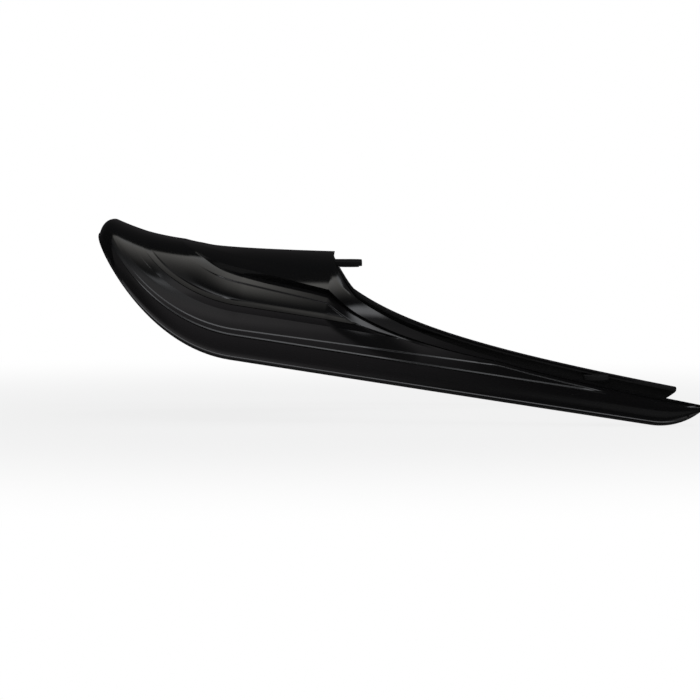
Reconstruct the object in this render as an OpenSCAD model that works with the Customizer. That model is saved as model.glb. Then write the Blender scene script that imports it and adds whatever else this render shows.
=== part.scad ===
// Seat cowl of a retro motorcycle: one moulded shell with a ducktail, a crowned deck
// and two long arms that run forward beside the seat.
// The shell is drawn in its own side frame, s forward along the straight bottom edge,
// y to the left and h up from that edge. It is then tipped by the rake into the mounted
// frame: X forward, Y left, Z up, origin at the middle of the two deck bolts.

/* [Shell] */
// Wall of the moulding
wall = 3; // [2:0.1:4]
// Slope of the bottom edge, down towards the front
rake = 8.65; // [4:0.05:14]
// Place of the front tips of the arms along the bottom edge
arm_s = 531; // [515:1:540]
// Half width at the front tips
front_half_w = 128; // [118:1:138]
// How much narrower each side is where the tail sweep starts
side_taper = 16; // [8:1:22]
// Roundness of the cross section, 2 is an ellipse
section_power = 2.6; // [2.2:0.1:3.2]
// Stand-out of the rolled bottom edge
edge_roll = 1; // [0.4:0.1:1.6]

/* [Tail] */
// Place where the sides start to sweep round the tail
sweep_s = 125; // [115:1:140]
// Height of the crest of the tail lip
crest_h = 102.3; // [98:0.1:108]
// Place of the crest of the tail lip
crest_s = 2.5; // [-4:0.5:6]
// How far the lip bulges behind its crest
lip_reach = 9.2; // [6:0.1:12]
// Half height of the rounded lip
lip_half_h = 13.6; // [10:0.1:16]
// Turn of the lip from its crest to the bottom edge, in degrees
lip_turn = 98; // [90:1:130]
// Bluntness of the tail seen from above
tail_blunt = 5; // [3:0.1:6]
// Steepness with which the style lines climb round the tail
tail_rise = 3.7; // [3:0.1:4.5]
// How much more steeply the bottom edge climbs
edge_rise = 0.8; // [0:0.1:1.5]

/* [Deck] */
// Place of the lowest point of the deck's centre line
dip_s = 76; // [65:1:90]
// Height of the lowest point of the deck's centre line
dip_h = 91.9; // [88:0.1:96]
// Place of the deck's front edge
deck_front_s = 200; // [190:1:206]
// Radius in the corners between the deck and the arms
corner_r = 20; // [10:1:26]
// Height of the step round the raised deck
step_h = 3.2; // [1.5:0.1:4]

/* [Seat line] */
// Height of the seat line at the deck's front edge
seat_top_h = 84; // [80:0.5:88]
// Height that the seat line falls towards
seat_low_h = 5; // [0:0.5:10]
// Run over which the seat line falls by half
seat_run = 100; // [85:1:115]
// Width of the ledge that the seat covers on each arm
ledge_w = 9; // [6:0.5:14]
// Drop of that ledge's inner edge below the seat line
ledge_drop = 1; // [0:0.1:2]

/* [Style lines] */
// Height of the lower edge of the side bead
bead_h = 20.4; // [18:0.1:23]
// Height of the side bead from edge to edge
bead_w = 6.8; // [5:0.1:8]
// Stand-out of the side bead
bead_out = 1.6; // [0.8:0.1:2.2]
// Height of the lower edge of the groove below the panel
groove_h = 41.2; // [38:0.1:43]
// Width of that groove
groove_w = 5.8; // [4:0.1:7]
// Depth of that groove
groove_deep = 1.2; // [0.5:0.1:2]
// Width of the border between the groove and the panel
border_w = 4; // [3:0.1:6]
// Depth of the wedge panel below its border
panel_deep = 0.9; // [0.4:0.1:1.5]
// Width of the border between the panel and the step
step_border_w = 8; // [6:0.1:10]
// Height of the step's foot where the tail sweep starts
step_foot_h = 76.3; // [74:0.1:79]

/* [Fixings] */
// Bore of the bolt holes
bolt_d = 6.5; // [5:0.1:9]
// Distance between the two deck bolts
deck_bolt_span = 70; // [50:1:76]
// Place of the deck bolts along the bottom edge
deck_bolt_s = 214; // [210:1:222]
// Height of the deck bolts' seat
deck_bolt_h = 97; // [95:0.5:99]
// Thickness of the bolt plates
plate_t = 4; // [3:0.5:6]
// Room between a bolt hole and the edge of its plate
plate_rim = 8; // [6:0.5:12]
// Place of the arm bolts along the bottom edge
arm_bolt_s = 455; // [430:1:470]
// Distance of an arm bolt in from the outside of its arm
arm_bolt_in = 21; // [18:0.5:28]

/* [Hidden] */
gloss_black = [0.05, 0.05, 0.055];

// Stations: degrees of the tail sweep below zero, millimetres along an arm above it.
// They lie closest in the corners beside the deck, and widest where the arm is plain.
tail_steps = 20;
deck_steps = 5;
corner_steps = 8;
arm_steps = 7;
deck_run = deck_front_s - sweep_s;
corner_end = deck_run + 2 * corner_r;
arm_run = arm_s - sweep_s;
arc_r = 57;
arc_run = 42;
arm_end = arm_run - arc_run;
arm_middle = corner_end + 0.4 * (arm_end - corner_end);
function spread(a, b, n) = [for (k = [1 : n]) a + (b - a) * k / n];
stations = concat(
    [for (k = [0 : tail_steps]) -90 * (1 - k / tail_steps)],
    spread(0, deck_run, deck_steps),
    spread(deck_run, corner_end, corner_steps),
    spread(corner_end, arm_middle, arm_steps),
    spread(arm_middle, arm_end, arm_steps),
    [for (k = [1 : arm_steps]) arm_end + arc_run * sin(90 * k / arm_steps)]
);
last = len(stations) - 1;
deck_last = tail_steps + deck_steps;

// Crown of the deck along its centre line
crown_k = 0.002;
crown_soften = 70;
function crown(s) =
    let (d = s - dip_s)
    dip_h + crown_k * d * d / (1 + max(0, d) / crown_soften);

// Half width of the bottom edge
taper_power = 1.6;
function half_w(s) =
    front_half_w - side_taper * pow(max(0, arm_s - s) / arm_run, taper_power);

// Cross section: half width at a height, and height at a half width
function section_y(s, h) =
    half_w(s) * pow(1 - pow(min(0.9999, max(0, h) / crown(s)), section_power), 1 / section_power);
function section_h(s, y) =
    crown(s) * pow(1 - pow(y / half_w(s), section_power), 1 / section_power);

// Lines along the side, as heights above the bottom edge
step_slope = 0.078;
seat_slope = 0.04;
kink_s = deck_front_s - 1;
band_fall = 0.075;
band_least = 2;
function seat_line(s) = s < deck_front_s
    ? seat_top_h + seat_slope * (deck_front_s - s)
    : seat_low_h + (seat_top_h - seat_low_h) / (1 + (s - deck_front_s) / seat_run);
band_first = seat_top_h + seat_slope - (step_foot_h - step_slope * (kink_s - sweep_s));
function step_line(s) = s < kink_s
    ? step_foot_h - step_slope * (s - sweep_s)
    : seat_line(s) - max(band_least, band_first - band_fall * (s - kink_s));
function clamp01(x) = min(1, max(0, x));
function smooth(x) = let (t = clamp01(x)) t * t * (3 - 2 * t);

// The border below the step narrows past the panel's point, from a place and over a run
step_border_end = 3;
border_narrows = [222, 40];
function border_line(s) =
    step_line(s) - step_border_w
    + (step_border_w - step_border_end) * clamp01((s - border_narrows[0]) / border_narrows[1]);

// Bottom edge: straight, then an arc up to the tip
function bottom_h(s) =
    let (x = max(0, s - (arm_s - arc_run)))
    arc_r - sqrt(arc_r * arc_r - x * x);
function squeeze(s, h) =
    let (b = bottom_h(s))
    b + h * (seat_line(s) - b) / seat_line(s);

// Where a line that starts at height h on the side meets the centre plane at the tail
crest_line_h = 32;
crest_turn = 11.25;
deck_reach = 61;
reach_power = 0.8;
join_s = crest_s + lip_reach * sin(crest_turn);
join_h = crest_line_h * (1 + crest_turn / lip_turn);
function lip_angle(h) = lip_turn * (1 - h / crest_line_h);
function tail_s(h) = h < join_h
    ? crest_s - lip_reach * sin(lip_angle(h))
    : join_s + deck_reach * pow((h - join_h) / (step_foot_h - join_h), reach_power);
function tail_h(h) = h < join_h
    ? crest_h - lip_half_h * (1 - cos(lip_angle(h)))
    : crown(tail_s(h)) + (crest_h - lip_half_h * (1 - cos(crest_turn)) - crown(join_s))
        * pow(1 - clamp01((h - join_h) / (step_foot_h - join_h)), 2);
panel_low_h = groove_h + groove_w + border_w;
sweep_seat_h = seat_line(sweep_s);
function drift(h) =
    step_slope * clamp01((h - panel_low_h) / (step_foot_h - panel_low_h))
    - (step_slope - seat_slope) * clamp01((h - step_foot_h) / (sweep_seat_h - step_foot_h));
function rise(h) = tail_rise + edge_rise * (1 - clamp01(h / crest_line_h));

// Towards the centre line the deck follows its crown instead of the lines on the side
function crowned(h) = smooth((h - sweep_seat_h) / (crown(sweep_s) - sweep_seat_h));
function level_at(h, s) = h * (1 + crowned(h) * (crown(s) / crown(sweep_s) - 1));
function blunt(h) = tail_blunt + (2 - tail_blunt) * crowned(h);

// Smooth body surface at station g and height h, on the left side. In the tail the half
// width at the start of the sweep is given too.
function swept(g, h, y) =
    let (
        c = abs(cos(g)),
        s = sweep_s - (sweep_s - tail_s(h)) * sqrt(1 - pow(c, blunt(h))),
        climb = (tail_h(h) - level_at(h, tail_s(h))) * (1 - pow(c, rise(h)))
    )
    [
        s,
        y * half_w(s) / half_w(sweep_s) * cos(g),
        level_at(h, s) + (1 - crowned(h)) * drift(h) * (sweep_s - s) * c + climb
    ];
function body(g, h) = g > 0
    ? let (s = sweep_s + g) [s, section_y(s, h), squeeze(s, h)]
    : swept(g, h, section_y(sweep_s, h));
function unit(v) = v / norm(v);
function body_normal(g, h) =
    let (d = 0.4, e = 0.25)
    unit(cross(body(g, h + e) - body(g, h - e), body(g + d, h) - body(g - d, h)));
function place_s(g, h) = body(g, h)[0];

// Rows of the outside from the bottom edge to the seat line, as heights at a place s.
// After them come the ledge's inner edge and the deck's rows, up to the centre line.
crease = 1;
edge_flat_h = 2.2;
edge_foot_h = 4.6;
bead_climb = 0.018;
bead_top_h = bead_h + bead_w;
function bead_up(s) = bead_climb * max(0, s - sweep_s);
row_border = 18;
row_corner = 23;
row_seat = 24;
row_in = 25;
deck_rows = 5;
row_mid = row_in + deck_rows;
function row_h(j, s) =
    let (low = border_line(s), foot = step_line(s), seat = seat_line(s), band = seat - foot)
    j == 0 ? 0 :
    j == 1 ? edge_flat_h :
    j == 2 ? edge_foot_h :
    j == 3 ? 0.6 * bead_h :
    j == 4 ? bead_h :
    j == 5 ? bead_h + crease :
    j == 6 ? bead_h + bead_w / 2 + bead_up(s) / 2 :
    j == 7 ? bead_top_h - crease + bead_up(s) :
    j == 8 ? bead_top_h + bead_up(s) :
    j == 9 ? (bead_top_h + bead_up(s) + groove_h) / 2 :
    j == 10 ? groove_h :
    j == 11 ? groove_h + crease :
    j == 12 ? groove_h + groove_w - crease :
    j == 13 ? groove_h + groove_w :
    j == 14 ? panel_low_h :
    j == 15 ? panel_low_h + crease :
    j == 16 ? panel_low_h + 0.35 * (step_foot_h - step_border_w - panel_low_h) :
    j == 17 ? panel_low_h + 0.7 * (step_foot_h - step_border_w - panel_low_h) :
    j == 18 ? low - crease :
    j == 19 ? low :
    j == 20 ? foot :
    j == 21 ? foot + min(crease, 0.4 * band) :
    j == 22 ? foot + 0.6 * band :
    j == 23 ? seat - min(crease, 0.2 * band) :
    seat;

// Relief of a row out of the smooth body. Each pair is where a line starts to grow or to
// fade, and the run over which it does.
scoop_w = 25;
scoop_low_h = 15;
step_grows = [45, 60];
step_fades = [230, 110];
step_left = 0.35;
lines_grow = [38, 37];
lines_fade = [245, 40];
bead_grows = [18, 14];
bead_fades = [425, 30];
panel_grows = [45, 40];
panel_least = 3;
edge_fade = 12;
function ramp(s, pair) = smooth((s - pair[0]) / pair[1]);
function step_at(s) = step_h * ramp(s, step_grows) * (1 - (1 - step_left) * ramp(s, step_fades));
function scoop(h, s) =
    let (foot = step_line(max(s, sweep_s)))
    -step_at(s) * smooth(1 - (foot - h) / min(scoop_w, foot - scoop_low_h));
function line_fade(s) = ramp(s, lines_grow) * (1 - ramp(s, lines_fade));
function bead_fade(s) = ramp(s, bead_grows) * (1 - ramp(s, bead_fades));
function panel_fade(s) =
    ramp(s, panel_grows) * clamp01((border_line(max(s, sweep_s)) - panel_low_h) / panel_least);
function relief(j, h, s) =
    j < 2 ? edge_roll * smooth((arm_s - s) / edge_fade) :
    j < 5 ? 0 :
    j < 8 ? bead_out * bead_fade(s) :
    j < 11 ? 0 :
    j < 13 ? -groove_deep * line_fade(s) + scoop(h, s) :
    j < 15 ? scoop(h, s) :
    j < 19 ? scoop(h, s) - panel_deep * panel_fade(s) :
    j < 21 ? scoop(h, s) : 0;

// Ledge under the seat: inner edge of the arms, rounded into the deck's front edge
function ledge(s) =
    let (x = max(0, corner_r - max(0, s - deck_front_s)))
    ledge_w + corner_r - sqrt(corner_r * corner_r - x * x);
function ledge_y(s) = section_y(s, seat_line(s)) - ledge(s);
function ledge_h(s) =
    let (t = smooth((s - deck_front_s) / (1.4 * corner_r)))
    section_h(s, ledge_y(s)) * (1 - t) + (seat_line(s) - ledge_drop) * t;

// Points of the ledge's inner edge and of the deck, from that edge to the centre line
function upper(i, j) =
    let (g = stations[i], s = sweep_s + g, share = 1 - (j - row_in) / deck_rows)
    let (y0 = ledge_y(sweep_s) * share, y = ledge_y(s) * share)
    g <= 0 ? swept(g, section_h(sweep_s, y0), y0) :
    j == row_in ? [s, y, ledge_h(s)] :
    [s, y, section_h(s, y)];

// Skin points of row j at station i, outside and inside, in the side frame
function base_h(j, g) = row_h(j, sweep_s + max(0, g));
function outside(i, j) =
    let (g = stations[i], h = base_h(j, g))
    j >= row_in ? upper(i, j) : body(g, h) + body_normal(g, h) * relief(j, h, place_s(g, h));
function inside(i, j) = j >= row_in ? upper(i, j) - [0, 0, wall] :
    let (g = stations[i], s = sweep_s + g, h = base_h(j, g), p = body(g, h), n = body_normal(g, h))
    let (turn = smooth((s - deck_front_s + corner_r / 2) / (1.5 * corner_r)))
    j == row_corner
    ? (p - n * wall) * (1 - turn) + [p[0], p[1] - wall, seat_line(s) - wall] * turn
    : p + n * ((j > 13 && j < 21 ? scoop(h, p[0]) : 0) - wall);

// Rows that the falling seat line has reached are drawn into the row above them
inner_rows = concat([0, 3, 6, 9, 14, 18, 20, 21, 23], [for (j = [row_in : row_mid]) j]);
function level(i, j) =
    let (g = stations[i], s = sweep_s + max(0, g))
    squeeze(s, base_h(j, g));
least_gap = 0.35;
function outer_rep(i, j) =
    j > 0 && j < row_border && level(i, j) > level(i, row_border) - least_gap ? row_border :
    j > row_border && j < row_seat
        && level(i, row_seat) - level(i, j) < (row_seat - j) * 0.7 * least_gap ? row_seat :
    j;
function inner_rep(i, j) =
    let (r = outer_rep(i, j), g = stations[i])
    j == 0 || j >= row_in ? j :
    g > deck_run && level(i, r) > seat_line(sweep_s + g) - wall - 2 * least_gap ? row_corner :
    r;

// Vertex numbers: each side has its own outside and inside grid. The sides share the
// column at the tail and the row on the centre line.
row_count = row_mid + 1;
side_count = (last + 1) * row_count;
function strip_id(side, skin, i, j) =
    (i == 0 || j == row_mid ? 0 : side) * 2 * side_count + skin * side_count + i * row_count
    + (skin == 0 ? outer_rep(i, j) : inner_rep(i, j));
strip_points = [
    for (side = [0, 1])
        for (skin = [0, 1])
            for (i = [0 : last])
                for (j = [0 : row_mid])
                    let (p = skin == 0 ? outside(i, j) : inside(i, j))
                    side == 0 ? p : [p[0], -p[1], p[2]]
];

// Triangles, two to a cell, without the ones that have shrunk to a line
function cell(a, b, c, d, flip) = flip
    ? [[a, b, c], [a, c, d]]
    : [[a, c, b], [a, d, c]];
function whole(t) = t[0] != t[1] && t[1] != t[2] && t[2] != t[0];
// The first cells are cut the other way, so that no triangle lies in the centre plane
function strip_cells(side, skin, rows) = [
    for (i = [0 : last - 1])
        for (r = [0 : len(rows) - 2])
            let (
                a = strip_id(side, skin, i, rows[r]),
                b = strip_id(side, skin, i + 1, rows[r]),
                c = strip_id(side, skin, i + 1, rows[r + 1]),
                d = strip_id(side, skin, i, rows[r + 1]),
                flip = (side + skin) % 2 == 0
            )
            if (rows[r] < row_in || i < deck_last)
                each i == 0 ? cell(b, c, d, a, flip) : cell(a, b, c, d, flip)
];
function rim_cells(side, j, from, to, flip) = [
    for (i = [from : to - 1])
        each cell(
            strip_id(side, 0, i, j),
            strip_id(side, 0, i + 1, j),
            strip_id(side, 1, i + 1, j),
            strip_id(side, 1, i, j),
            (side == 0) == flip
        )
];
function end_cells(side, i, from, to) = [
    for (r = [0 : len(inner_rows) - 2])
        let (
            a = inner_rows[r],
            b = inner_rows[r + 1],
            in_a = strip_id(side, 1, i, a),
            in_b = strip_id(side, 1, i, b),
            out_b = strip_id(side, 0, i, b)
        )
        if (a >= from && b <= to)
            for (j = [a : b])
                let (
                    out_j = strip_id(side, 0, i, j),
                    out_next = strip_id(side, 0, i, min(j + 1, row_mid)),
                    t = j < b ? [in_a, out_j, out_next] : [in_a, out_b, in_b]
                )
                side == 0 ? [t[0], t[2], t[1]] : t
];
all_rows = [for (j = [0 : row_mid]) j];
shell_triangles = [
    for (t = concat(
        strip_cells(0, 0, all_rows), strip_cells(1, 0, all_rows),
        strip_cells(0, 1, inner_rows), strip_cells(1, 1, inner_rows),
        rim_cells(0, 0, 0, last, false), rim_cells(1, 0, 0, last, false),
        rim_cells(0, row_in, deck_last, last, true), rim_cells(1, row_in, deck_last, last, true),
        end_cells(0, last, 0, row_in), end_cells(1, last, 0, row_in),
        end_cells(0, deck_last, row_in, row_mid), end_cells(1, deck_last, row_in, row_mid)
    )) if (whole(t)) t
];

// From the side frame to the mounted frame
function mounted(p) =
    let (x = p[0] - deck_bolt_s, z = p[2] - deck_bolt_h)
    [x * cos(rake) + z * sin(rake), p[1], z * cos(rake) - x * sin(rake)];

module moulding() {
    polyhedron([for (p = strip_points) mounted(p)], shell_triangles);
}

// Side frame for profiles that are cut across or along the shell
module side_frame() {
    rotate([0, rake, 0]) translate([-deck_bolt_s, 0, -deck_bolt_h]) children();
}

// Wall that steps down from the deck's front edge to the bolt plate
inset = 0.4;
ear_r = bolt_d / 2 + plate_rim;
plate_half = deck_bolt_span / 2 + ear_r;
riser_s = deck_front_s - wall - inset;
riser_foot_h = deck_bolt_h + (riser_s - deck_bolt_s) * tan(rake) - plate_t / 2;
riser_steps = 6;
module deck_riser() {
    crown_points = [
        for (k = [-riser_steps : riser_steps])
            let (y = plate_half * k / riser_steps)
            [y, section_h(riser_s, abs(y)) - wall / 2]
    ];
    side_frame()
        translate([riser_s, 0, 0])
        rotate([90, 0, 90])
        linear_extrude(wall)
        polygon(concat(crown_points, [[plate_half, riser_foot_h], [-plate_half, riser_foot_h]]));
}

// Gusset under the deck behind each bolt
gusset_run = 34;
module deck_gusset() {
    y = deck_bolt_span / 2;
    side_frame()
        translate([0, y + wall / 2, 0])
        rotate([90, 0, 0])
        linear_extrude(wall)
        polygon([
            [riser_s + wall / 2, riser_foot_h],
            [riser_s + wall / 2, section_h(riser_s, y) - wall / 2],
            [riser_s - gusset_run / 2, section_h(riser_s - gusset_run / 2, y) - wall / 2],
            [riser_s - gusset_run, section_h(riser_s - gusset_run, y) - wall / 2]
        ]);
}

// Level plate with round ears, its top at height zero
module bolt_ear() {
    translate([0, 0, -plate_t]) cylinder(r = ear_r, h = plate_t, $fn = 48);
}
module deck_plate() {
    reach = deck_bolt_s - riser_s - wall / 2;
    for (side = [-1, 1])
        translate([0, side * deck_bolt_span / 2, 0]) bolt_ear();
    translate([-reach, -plate_half, -plate_t]) cube([reach, 2 * plate_half, plate_t]);
    translate([-inset, -deck_bolt_span / 2, -plate_t])
        cube([ear_r + inset, deck_bolt_span, plate_t]);
}

// Level lug inside each arm, carried by the side wall just below the ledge
arm_y = section_y(arm_bolt_s, seat_line(arm_bolt_s)) - arm_bolt_in;
arm_bolt = mounted([arm_bolt_s, arm_y, seat_line(arm_bolt_s) - ledge_drop - wall + inset]);
module arm_lug() {
    translate(arm_bolt) {
        bolt_ear();
        translate([-ear_r, 0, -plate_t]) cube([2 * ear_r, arm_bolt_in - wall / 2, plate_t]);
    }
}

module bolt_hole() {
    translate([0, 0, -2 * plate_t]) cylinder(d = bolt_d, h = 4 * plate_t, $fn = 48);
}

module cowl_shell() {
    color(gloss_black)
        difference() {
            union() {
                moulding();
                deck_riser();
                deck_plate();
                for (side = [0, 1])
                    mirror([0, side, 0]) {
                        deck_gusset();
                        arm_lug();
                    }
            }
            for (side = [-1, 1]) {
                translate([0, side * deck_bolt_span / 2, 0]) bolt_hole();
                translate([arm_bolt[0], side * arm_bolt[1], arm_bolt[2]]) bolt_hole();
            }
        }
}

cowl_shell();
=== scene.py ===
"""Seat cowl of a retro motorcycle: the painted moulding, its ribs and bolt faces, and a studio.

Lengths are in millimetres in the cowl's own side frame, s forward along the straight bottom edge,
y to the left and h up from that edge, until a mesh is made. A mesh is in metres in the row frame.
"""

import logging
import math
from dataclasses import dataclass, field
from enum import Enum
from typing import Any, Callable, Sequence

import bmesh
import bpy
import numpy as np
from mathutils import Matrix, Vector
from mathutils.kdtree import KDTree


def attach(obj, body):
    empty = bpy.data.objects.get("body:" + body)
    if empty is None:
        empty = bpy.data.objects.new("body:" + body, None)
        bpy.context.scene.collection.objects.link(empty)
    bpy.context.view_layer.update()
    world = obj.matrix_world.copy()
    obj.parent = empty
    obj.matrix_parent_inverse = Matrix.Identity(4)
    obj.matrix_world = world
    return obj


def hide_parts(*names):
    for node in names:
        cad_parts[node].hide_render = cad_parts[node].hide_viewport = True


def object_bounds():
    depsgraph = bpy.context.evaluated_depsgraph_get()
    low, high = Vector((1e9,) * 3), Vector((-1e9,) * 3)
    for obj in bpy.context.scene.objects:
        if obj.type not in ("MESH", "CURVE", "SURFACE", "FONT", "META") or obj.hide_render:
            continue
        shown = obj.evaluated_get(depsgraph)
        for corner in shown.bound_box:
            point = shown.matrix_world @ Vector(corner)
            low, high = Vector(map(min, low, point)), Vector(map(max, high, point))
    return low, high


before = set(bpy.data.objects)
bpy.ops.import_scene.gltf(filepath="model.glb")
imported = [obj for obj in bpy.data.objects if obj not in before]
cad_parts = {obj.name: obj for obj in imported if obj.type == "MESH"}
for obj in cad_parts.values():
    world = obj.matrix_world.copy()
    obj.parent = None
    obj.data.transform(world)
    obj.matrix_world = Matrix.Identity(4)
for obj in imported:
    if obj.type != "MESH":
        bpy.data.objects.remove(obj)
CAD_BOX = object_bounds()

LOG = logging.getLogger("seat_cowl")
MM = 0.001
NEARLY_ONE = 0.9999
CENTRE = -90.0
OUTSIDE = "painted_side"
Array = np.ndarray
Point = tuple[float, float]
Stop = tuple[float, tuple[float, float, float, float]]


def smooth(x: Array | float) -> Array:
    """Goes from 0 to 1 without a corner as x goes from 0 to 1."""
    t = np.clip(x, 0.0, 1.0)
    return t * t * (3.0 - 2.0 * t)


def ramp(s: Array, pair: Point) -> Array:
    """Goes from 0 to 1 from a place on and over a run, given as a pair."""
    return smooth((s - pair[0]) / pair[1])


def spread(a: Array, b: Array, n: int) -> list[Array]:
    """Gives n values spaced evenly between a and b, without the two themselves."""
    return [a + (b - a) * k / (n + 1) for k in range(1, n + 1)]


def add_object(name: str, data: Any) -> bpy.types.Object:
    """Puts data into the scene as an object at the origin.

    Args:
        name: Name of the object.
        data: Its mesh, light or camera.

    Returns:
        The new object.
    """
    obj = bpy.data.objects.new(name, data)
    bpy.context.scene.collection.objects.link(obj)
    return obj


@dataclass(frozen=True)
class CowlForm:
    """The smooth body of the cowl, with the sizes of the CAD source, in millimetres and degrees."""

    wall: float = 3.0
    rake: float = 8.65
    arm_s: float = 531.0
    front_half_w: float = 128.0
    side_taper: float = 16.0
    taper_power: float = 1.6
    section_power: float = 2.6
    sweep_s: float = 125.0
    crest_h: float = 102.1
    crest_s: float = 2.5
    lip_reach: float = 9.2
    lip_half_h: float = 13.6
    lip_turn: float = 98.0
    tail_blunt: float = 5.0
    tail_rise: float = 3.7
    edge_rise: float = 0.8
    crest_line_h: float = 32.0
    crest_turn: float = 11.25
    deck_reach: float = 61.0
    reach_power: float = 0.8
    dip_s: float = 76.0
    dip_h: float = 91.9
    crown_k: float = 0.002
    crown_soften: float = 70.0
    deck_front_s: float = 200.0
    corner_r: float = 20.0
    seat_top_h: float = 84.0
    seat_low_h: float = 5.0
    seat_run: float = 100.0
    seat_slope: float = 0.04
    ledge_w: float = 9.0
    ledge_drop: float = 1.0
    panel_low_h: float = 51.0
    step_border_w: float = 8.0
    step_border_end: float = 3.0
    border_narrows: Point = (222.0, 40.0)
    step_foot_h: float = 76.3
    step_slope: float = 0.078
    band_fall: float = 0.075
    band_least: float = 2.0
    arc_r: float = 57.0
    arc_run: float = 42.0
    deck_bolt_s: float = 214.0
    deck_bolt_h: float = 97.0
    kink_back: float = 1.0
    normal_steps: Point = (0.4, 0.25)

    @property
    def kink_s(self) -> float:
        """Place where the step turns down towards the front."""
        return self.deck_front_s - self.kink_back

    @property
    def join_s(self) -> float:
        """Place on the centre plane where the lip joins the deck."""
        return self.crest_s + self.lip_reach * math.sin(math.radians(self.crest_turn))

    @property
    def join_h(self) -> float:
        """Side height of the line that meets the centre plane at that join."""
        return self.crest_line_h * (1.0 + self.crest_turn / self.lip_turn)

    def crown(self, s: Array | float) -> Array:
        """Height of the deck's centre line at a place s."""
        d = s - self.dip_s
        return self.dip_h + self.crown_k * d * d / (1.0 + np.maximum(0.0, d) / self.crown_soften)

    def half_w(self, s: Array | float) -> Array:
        """Half width of the bottom edge at a place s."""
        share = np.maximum(0.0, self.arm_s - s) / (self.arm_s - self.sweep_s)
        return self.front_half_w - self.side_taper * share**self.taper_power

    def section_y(self, s: Array | float, h: Array) -> Array:
        """Half width of the cross section.

        Args:
            s: Places along the cowl.
            h: Heights.

        Returns:
            Half widths.
        """
        n = self.section_power
        t = np.minimum(NEARLY_ONE, np.maximum(0.0, h) / self.crown(s))
        return self.half_w(s) * (1.0 - t**n) ** (1.0 / n)

    def section_h(self, s: Array | float, y: Array) -> Array:
        """Height of the cross section at a half width y."""
        n = self.section_power
        return self.crown(s) * (1.0 - (np.abs(y) / self.half_w(s)) ** n) ** (1.0 / n)

    def seat_line(self, s: Array | float) -> Array:
        """Height at which the seat covers the cowl.

        Args:
            s: Places along the cowl.

        Returns:
            Heights.
        """
        front = 1.0 + np.maximum(0.0, s - self.deck_front_s) / self.seat_run
        falling = self.seat_low_h + (self.seat_top_h - self.seat_low_h) / front
        rising = self.seat_top_h + self.seat_slope * (self.deck_front_s - s)
        return np.where(s < self.deck_front_s, rising, falling)

    def step_line(self, s: Array | float) -> Array:
        """Height of the foot of the step round the raised deck.

        Args:
            s: Places along the cowl.

        Returns:
            Heights.
        """
        behind = self.step_foot_h - self.step_slope * (s - self.sweep_s)
        at_kink = self.step_foot_h - self.step_slope * (self.kink_s - self.sweep_s)
        first = self.seat_top_h + self.seat_slope - at_kink
        band = np.maximum(self.band_least, first - self.band_fall * (s - self.kink_s))
        return np.where(s < self.kink_s, behind, self.seat_line(s) - band)

    def border_line(self, s: Array | float) -> Array:
        """Height of the lower edge of the border below the step.

        Args:
            s: Places along the cowl.

        Returns:
            Heights.
        """
        start, run = self.border_narrows
        less = (self.step_border_w - self.step_border_end) * np.clip((s - start) / run, 0.0, 1.0)
        return self.step_line(s) - self.step_border_w + less

    def bottom_h(self, s: Array | float) -> Array:
        """Height of the bottom edge, straight and then an arc up to the tip."""
        x = np.maximum(0.0, s - (self.arm_s - self.arc_run))
        return self.arc_r - np.sqrt(self.arc_r**2 - x * x)

    def squeeze(self, s: Array, h: Array) -> Array:
        """Height of a line h, pressed up where the bottom edge rises to the tip."""
        low, top = self.bottom_h(s), self.seat_line(s)
        return low + h * (top - low) / top

    def ledge_width(self, s: Array | float) -> Array:
        """Width of the ledge, which rounds into the deck's front edge."""
        x = np.maximum(0.0, self.corner_r - np.maximum(0.0, s - self.deck_front_s))
        return self.ledge_w + self.corner_r - np.sqrt(np.maximum(0.0, self.corner_r**2 - x * x))

    def tail_point(self, h: Array) -> tuple[Array, Array]:
        """Where the line that starts at side height h meets the centre plane.

        Args:
            h: Heights on the side where the tail sweep starts.

        Returns:
            Its place s and its height on the centre plane.
        """
        angle = np.radians(self.lip_turn * (1.0 - h / self.crest_line_h))
        up = np.maximum(0.0, h - self.join_h) / (self.step_foot_h - self.join_h)
        drop = self.lip_half_h * (1.0 - math.cos(math.radians(self.crest_turn)))
        step = self.crest_h - drop - self.crown(self.join_s)
        deck_s = self.join_s + self.deck_reach * up**self.reach_power
        deck_h = self.crown(deck_s) + step * (1.0 - np.minimum(1.0, up)) ** 2
        lip_s = self.crest_s - self.lip_reach * np.sin(angle)
        lip_h = self.crest_h - self.lip_half_h * (1.0 - np.cos(angle))
        on_lip = h < self.join_h
        return np.where(on_lip, lip_s, deck_s), np.where(on_lip, lip_h, deck_h)

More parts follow.
